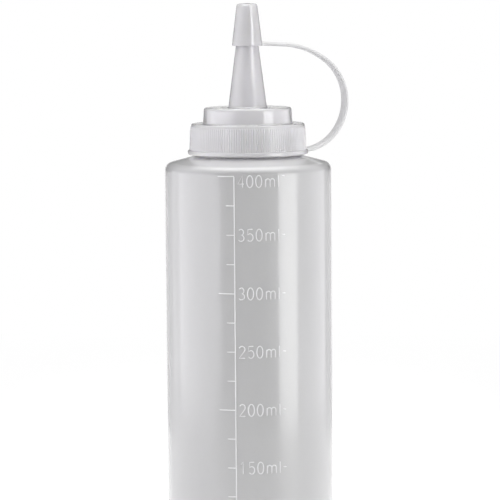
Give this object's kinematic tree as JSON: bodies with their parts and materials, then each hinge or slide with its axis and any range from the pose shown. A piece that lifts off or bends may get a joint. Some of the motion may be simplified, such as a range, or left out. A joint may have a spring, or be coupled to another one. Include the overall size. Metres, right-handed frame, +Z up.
{
  "type": "squeeze bottle",
  "caption": "Translucent squeeze bottle with a ribbed nozzle closure and a strap-held tip cap, for sauce or oil.",
  "frame": {"origin": "on the bottle's axis, in the plane of the ring it stands on", "axes": "+Z up along the axis towards the nozzle; the strap loops out along +X; the volume scale faces -Y turned 22 degrees towards -X"},
  "size_m": [0.0668, 0.058, 0.2216],
  "materials": {
    "bottle_plastic": "translucent natural polyethylene, satin, blow moulded",
    "closure_plastic": "translucent natural polyethylene, smooth semi-gloss, injection moulded"
  },
  "bodies": {
    "root": {"bottle": "bottle_plastic", "closure": "closure_plastic"}
  },
  "joints": []
}
